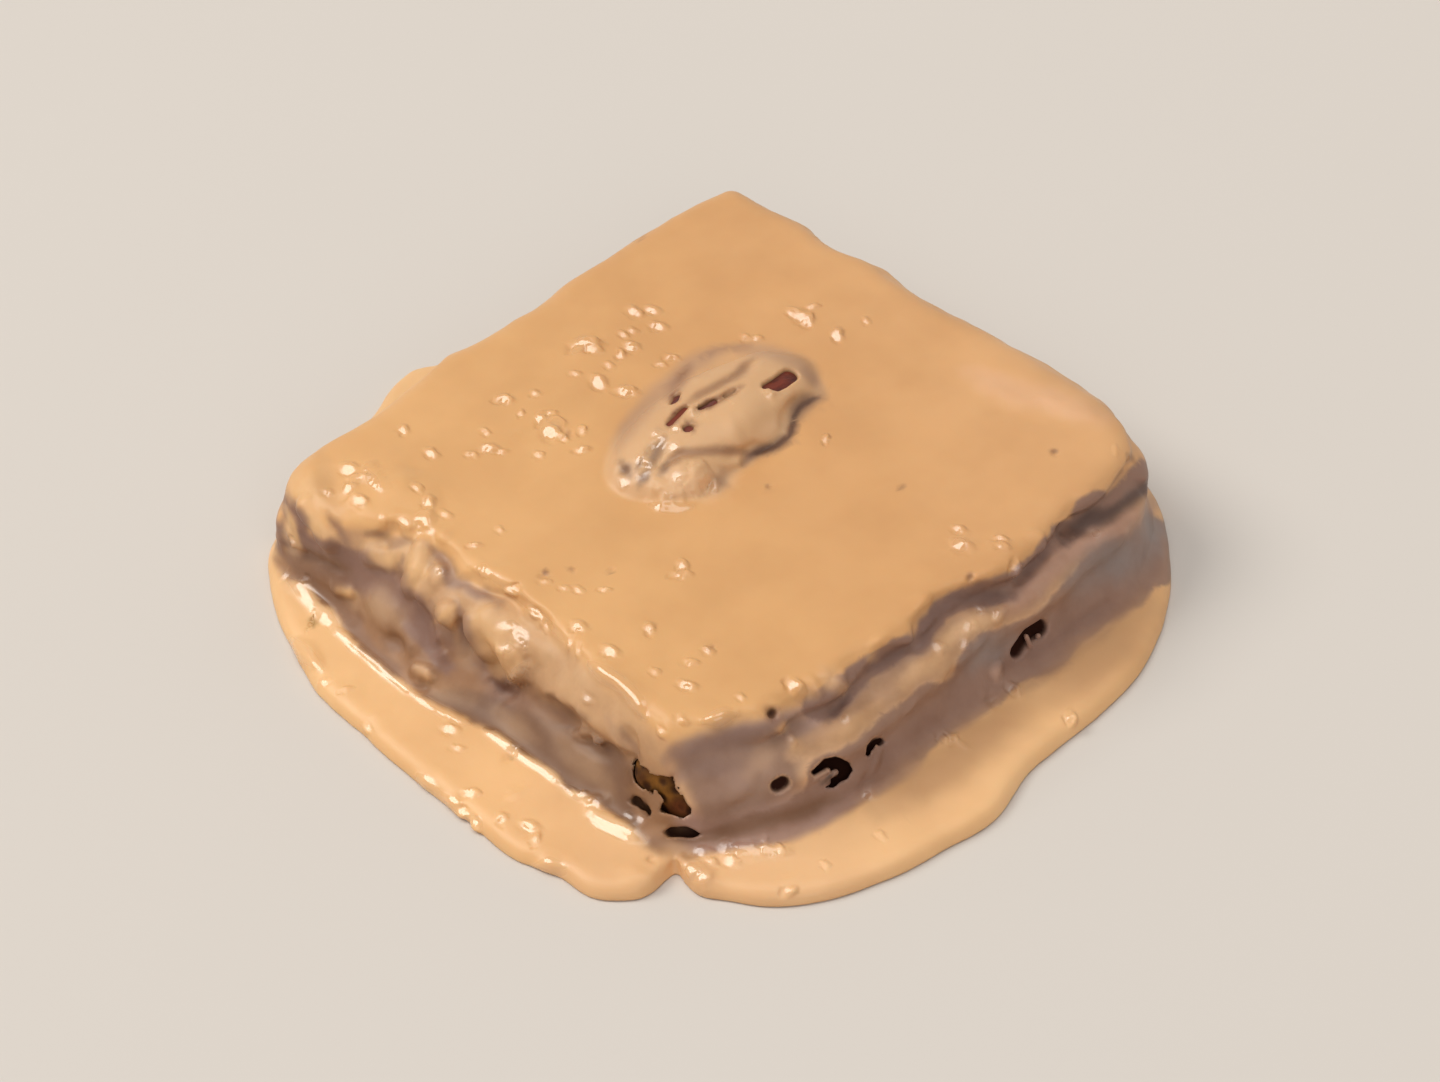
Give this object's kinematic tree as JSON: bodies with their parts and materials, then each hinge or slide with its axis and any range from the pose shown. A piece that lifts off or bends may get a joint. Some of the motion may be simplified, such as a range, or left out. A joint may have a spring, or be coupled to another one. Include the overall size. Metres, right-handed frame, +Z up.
{
  "type": "basbousa piece",
  "caption": "Square piece of semolina cake fully enrobed in poured caramel sauce that pools round its foot, with a sauce-coated pecan half on top.",
  "frame": {"origin": "middle of the semolina block's flat base, on the surface that the piece rests on", "axes": "+Z up; the square sides run along X and Y, the pecan half lies nearly along Y, and the two faces that the picture shows are +X and -Y"},
  "size_m": [0.1002, 0.0868, 0.0172],
  "materials": {
    "crumb": "moist open crumb, matte",
    "caramel_sauce": "glossy poured milk caramel",
    "pecan": "roasted nut skin, satin"
  },
  "bodies": {
    "root": {"cake": "crumb", "sauce": "caramel_sauce", "pecan": "pecan"}
  },
  "joints": []
}
